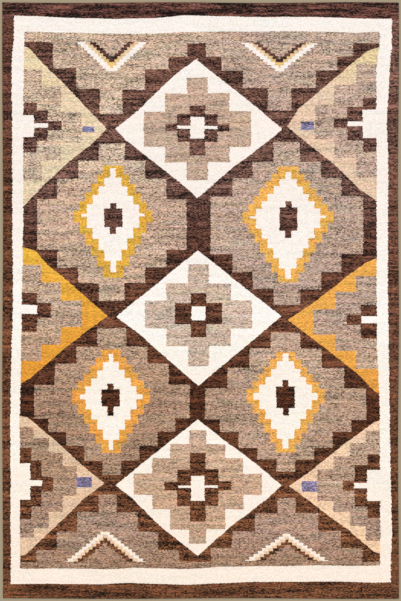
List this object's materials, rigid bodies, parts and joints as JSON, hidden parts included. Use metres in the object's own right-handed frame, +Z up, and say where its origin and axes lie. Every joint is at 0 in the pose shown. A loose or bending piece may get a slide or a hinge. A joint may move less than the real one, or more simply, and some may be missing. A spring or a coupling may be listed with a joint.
{
  "type": "tapestry-woven wool rug",
  "caption": "Flat rectangular rug of weft-faced wool tapestry weave, with terraced diamonds, stepped lozenges and a plain double border.",
  "frame": {"origin": "middle of the flat underside, on the surface that the rug lies on", "axes": "+X across the rug, +Y along its warps and its longest side, +Z up, out of its upper face"},
  "size_m": [1.02, 1.534, 0.003],
  "materials": {
    "woven_wool": "matte hand-spun wool in several natural and dyed colours"
  },
  "bodies": {
    "root": {"rug": "woven_wool"}
  },
  "joints": []
}
